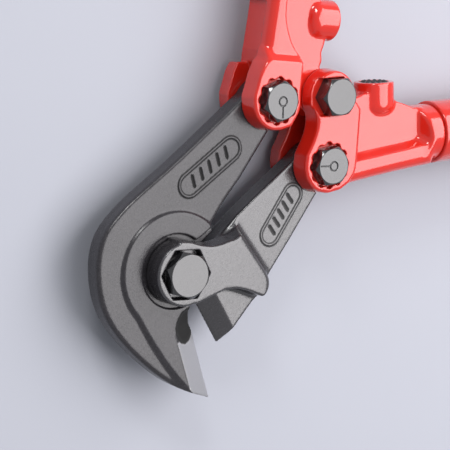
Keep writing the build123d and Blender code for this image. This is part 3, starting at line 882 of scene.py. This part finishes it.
def bump(tree, height, strength, distance, below=None):
    """Normals tilted by a height; distance is in metres, and below is another bump under this one."""
    node = tree.nodes.new("ShaderNodeBump")
    node.inputs["Strength"].default_value = strength
    node.inputs["Distance"].default_value = distance
    tree.links.new(height, node.inputs["Height"])
    if below is not None:
        tree.links.new(below, node.inputs["Normal"])
    return node.outputs["Normal"]


def base_material(name):
    material = bpy.data.materials.new(name)
    material.use_nodes = True
    tree = material.node_tree
    return material, tree, tree.nodes["Principled BSDF"]


def cloudy(tree, scale, detail, dark, light):
    """A colour that drifts between two shades."""
    return blend(tree, spread(tree, noise(tree, scale, detail), 0, 1), dark, light)


def red_powder_coat():
    """Glossy red paint with a slight orange peel."""
    material, tree, shader = base_material("red_powder_coat")
    colour = cloudy(tree, 30, 4, (0.58, 0.015, 0.008), (0.64, 0.021, 0.010))
    tree.links.new(colour, shader.inputs["Base Color"])
    tree.links.new(spread(tree, noise(tree, 160), 0.12, 0.18), shader.inputs["Roughness"])
    wave = bump(tree, noise(tree, 110, 2), strength=0.10, distance=0.0004)
    peel = bump(tree, noise(tree, 900, 2), strength=0.05, distance=0.0001, below=wave)
    tree.links.new(peel, shader.inputs["Normal"])
    shader.inputs["IOR"].default_value = 1.5
    shader.inputs["Coat Weight"].default_value = 0.72
    shader.inputs["Coat Roughness"].default_value = 0.04
    return material


def phosphated_steel(name, ior, low, high):
    """Dark phosphated forging, bare where the mesh is marked as ground; near black and matt where the other
    mark is set, which is painted shade in the scoop and along a badge ring's foot, and the black fill of the
    badge's bars.
    """
    material, tree, shader = base_material(name)
    shade_and_black_fill, ground = mark(tree, "shade_and_black_fill"), mark(tree, "ground")
    dark = cloudy(tree, 60, 5, (0.013, 0.012, 0.014), (0.022, 0.020, 0.023))
    dark = blend(tree, spread(tree, noise(tree, 1100), 0, 0.6), dark, (0.050, 0.047, 0.052))
    # Near black where marked: painted shade in the scoop and at the badge ring's foot, and the bars' black
    # fill
    dark = blend(tree, shade_and_black_fill, dark, (0.004, 0.004, 0.004))
    tree.links.new(blend(tree, ground, dark, (0.68, 0.67, 0.69)), shader.inputs["Base Color"])
    tree.links.new(ground, shader.inputs["Metallic"])
    rough = spread(tree, noise(tree, 700), low, high)
    # Matt there too, so the painted shade in the scoop shows no highlight
    rough = blend(tree, shade_and_black_fill, rough, (0.85, 0.85, 0.85))
    rough = blend(tree, ground, rough, (0.31, 0.31, 0.31))
    tree.links.new(rough, shader.inputs["Roughness"])
    shader.inputs["IOR"].default_value = ior
    level = (0.5, 0.5, 0.5)  # the ground steel has no grain
    grain = blend(tree, ground, noise(tree, 1300), level)
    grain = bump(tree, grain, strength=0.45, distance=0.00016)
    waves = blend(tree, ground, noise(tree, 260), level)
    tree.links.new(bump(tree, waves, strength=0.20, distance=0.0003, below=grain), shader.inputs["Normal"])
    return material


def oxide_steel(name, colour, low, high):
    """Machined steel with a smooth black finish."""
    material, tree, shader = base_material(name)
    light = tuple(c * 1.5 for c in colour)
    tree.links.new(cloudy(tree, 250, 4, colour, light), shader.inputs["Base Color"])
    tree.links.new(spread(tree, noise(tree, 900), low, high), shader.inputs["Roughness"])
    tree.links.new(bump(tree, noise(tree, 1500), strength=0.15, distance=0.0001), shader.inputs["Normal"])
    shader.inputs["IOR"].default_value = 1.85
    return material


def moulding(name, colour, low, high, grain, height):
    """Moulded plastic or rubber; grain is its texture in features per metre, and height how deep it is."""
    material, tree, shader = base_material(name)
    light = tuple(min(1, c * 1.25 + 0.004) for c in colour)
    tree.links.new(cloudy(tree, 40, 4, colour, light), shader.inputs["Base Color"])
    tree.links.new(spread(tree, noise(tree, 500), low, high), shader.inputs["Roughness"])
    tree.links.new(bump(tree, noise(tree, grain), strength=0.4, distance=height), shader.inputs["Normal"])
    return material


def floor_material():
    material, tree, shader = base_material("pale_floor")
    colour = cloudy(tree, 6, 4, (0.409, 0.421, 0.466), (0.419, 0.431, 0.476))
    tree.links.new(colour, shader.inputs["Base Color"])
    shader.inputs["Roughness"].default_value = 0.9
    shader.inputs["Specular IOR Level"].default_value = 0.1
    return material


# ---------------------------------------------------------------- camera, lights, floor
def look(location, target):
    return (Vector(target) - Vector(location)).to_track_quat("-Z", "Y").to_matrix().to_4x4()


def panel(name, centre, aim, width, height, radiance, colour=(1, 1, 1)):
    """A rectangular area light, as bright as radiance from wherever it is seen."""
    data = bpy.data.lights.new(name, "AREA")
    data.shape = "RECTANGLE"
    data.size, data.size_y = width, height
    data.energy = radiance * math.pi * width * height
    data.color = colour
    lamp = bpy.data.objects.new(name, data)
    lamp.matrix_world = Matrix.Translation(centre) @ look(centre, aim)
    bpy.context.scene.collection.objects.link(lamp)
    return lamp


def studio():
    """Even air light, a wide panel that the flat faces mirror, and a small softbox for highlights."""
    scene = bpy.context.scene
    scene.view_settings.view_transform = "Standard"
    world = bpy.data.worlds.new("studio_air")
    world.use_nodes = True
    air = world.node_tree.nodes["Background"]
    air.inputs["Color"].default_value = (0.93, 0.95, 1.0, 1)
    air.inputs["Strength"].default_value = 0.46
    scene.world = world
    panel("ceiling_panel", (2.0, -0.42, 1.5), (2.0, -0.42, 0), width=4.05, height=1.8, radiance=4.0,
          colour=(1.0, 0.975, 0.99))
    panel("key_softbox", (0.47, 1.41, 0.84), (0.07, 0, 0.02), width=0.45, height=0.45, radiance=15.0)
    half, gap = 8.0, 0.0006  # metres; the gap keeps the floor from touching the lowest faces
    corners = np.array([(-half, -half, -gap), (half, -half, -gap), (half, half, -gap), (-half, half, -gap)])
    floor = mesh_object("floor", corners, np.array([[0, 1, 2, 3]]))
    floor.data.materials.append(floor_material())


def camera():
    """A long lens above the jaw, rolled so that the blades point down and to the left."""
    data = bpy.data.cameras.new("camera")
    data.sensor_width, data.lens = 36.0, 128.0
    data.clip_start, data.clip_end = 0.05, 30
    eye = bpy.data.objects.new("camera", data)
    spot = (-0.1915, 0.4030, 0.6863 + MIDDLE * MM)
    right = Vector((0.6164, -0.5667, 0.5467))
    ahead = Vector((0.2762, -0.4946, -0.8241))
    up = right.cross(ahead)
    turn = Matrix((right, up, -ahead)).transposed().to_4x4()
    eye.matrix_world = Matrix.Translation(spot) @ turn
    bpy.context.scene.collection.objects.link(eye)
    bpy.context.scene.camera = eye


# ---------------------------------------------------------------- assembly
def finish_piece(piece, body, slot, material, *nodes):
    """Paints a piece and puts it on its body in place of its CAD nodes."""
    piece.data.materials.clear()
    piece.data.materials.append(material)
    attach(piece, body)
    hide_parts(*nodes)


camera()
studio()
PAINT = red_powder_coat()
# Two copies of one steel: the fork's higher IOR only makes its flats brighter than the hook's, as painted
# light for the stronger light falling on the fork
HOOK_STEEL = phosphated_steel("phosphated_steel_hook", ior=1.52, low=0.20, high=0.28)
FORK_STEEL = phosphated_steel("phosphated_steel_fork", ior=1.87, low=0.20, high=0.28)
BOLT_STEEL = oxide_steel("black_oxide_bolt", (0.012, 0.012, 0.013), low=0.15, high=0.22)
NUT_STEEL = oxide_steel("black_oxide_nut", (0.025, 0.025, 0.027), low=0.28, high=0.40)
RUBBER = moulding("stop_rubber", (0.010, 0.010, 0.011), 0.35, 0.55, grain=900, height=0.0003)
PLASTIC = moulding("grip_plastic", (0.020, 0.020, 0.022), 0.45, 0.6, grain=700, height=0.0003)
SOFT = moulding("grip_rubber", (0.30, 0.012, 0.008), 0.5, 0.65, grain=1100, height=0.0004)

finish_piece(hook_blade(), "hook", "blade_steel", HOOK_STEEL, "hook_blade")
finish_piece(fork_blade(), "fork", "blade_steel", FORK_STEEL, "fork_blade")
finish_piece(left_head(), "left_handle", "red_paint", PAINT, "left_handle_head")
finish_piece(right_head(), "right_handle", "red_paint", PAINT, "right_handle_head")

SHANK_END = TAIL - MIDDLE
PIVOT_NUT_TOP, NUT_TOP = -PIVOT_FLOOR - WASHER, -EAR_FLOOR - WASHER
pivot_shanks = [(PIVOT_SHANK, SHANK_END, PIVOT_FLOOR + OVERLAP, 0)]
pivot = bolt("pivot_bolt_steel", FLAT, PIVOT_FLATS, PIVOT_FLOOR, PIVOT_TOP, pivot_shanks, turn=0)
finish_piece(pivot, "fork", "bolt_steel", BOLT_STEEL, "pivot_bolt")
pin_shanks = [(PIN_SHANK, SHANK_END, EAR_FLOOR + OVERLAP, 0)]
pin = bolt("handle_bolt_steel", RIGHT, BOLT_FLATS, EAR_FLOOR, PIN_TOP, pin_shanks, turn=0)
finish_piece(pin, "right_handle", "bolt_steel", BOLT_STEEL, "handle_pivot_bolt")
pivot_nut = nut("pivot_nut_steel", FLAT, PIVOT_FLATS, PIVOT_SHANK, -MIDDLE, PIVOT_NUT_TOP, turn=8)
finish_piece(pivot_nut, "fork", "nut_steel", NUT_STEEL, "pivot_nut")
pin_nut = nut("handle_nut_steel", RIGHT, BOLT_FLATS, PIN_SHANK, -MIDDLE, NUT_TOP, turn=20)
finish_piece(pin_nut, "right_handle", "nut_steel", NUT_STEEL, "handle_pivot_nut")

adjuster_shanks = [
    (ADJUSTER_COLLAR, SLOT, EAR_FLOOR + OVERLAP, 0),
    (ADJUSTER_JOURNAL, -SLOT + OVERLAP / 2, SLOT + OVERLAP, -THROW),
    (PIN_SHANK, SHANK_END, 0, 0),
]
for side, place in HANDLES.items():
    body = side + "_handle"
    spot = place @ Matrix.Translation((*ECCENTRIC, 0))
    adjuster = bolt(side + "_adjuster_steel", spot, BOLT_FLATS, EAR_FLOOR, ADJUSTER_TOP, adjuster_shanks,
                    turn=6, mark=175)
    finish_piece(adjuster, body, "bolt_steel", BOLT_STEEL, side + "_eccentric_bolt")
    adjuster_nut = nut(side + "_adjuster_nut", spot, BOLT_FLATS, PIN_SHANK, -MIDDLE, NUT_TOP, turn=11)
    finish_piece(adjuster_nut, body, "nut_steel", NUT_STEEL, side + "_eccentric_nut")
    finish_piece(buffer(side), body, "stop_rubber", RUBBER, side + "_stop_buffer")
    finish_piece(tube(side), body, "red_paint", PAINT, side + "_handle_tube")
    finish_piece(sleeve(side), body, "grip_plastic", PLASTIC, side + "_grip_sleeve")
    finish_piece(pad(side), body, "grip_rubber", SOFT, side + "_grip_pad")
    finish_piece(end_cap(side), body, "grip_plastic", PLASTIC, side + "_grip_end_cap")
for name in ("pivot_washer", "handle_pivot_washer", "left_eccentric_washer", "right_eccentric_washer"):
    node = frame["nodes"][name]
    node.data.materials.clear()
    node.data.materials.append(NUT_STEEL)
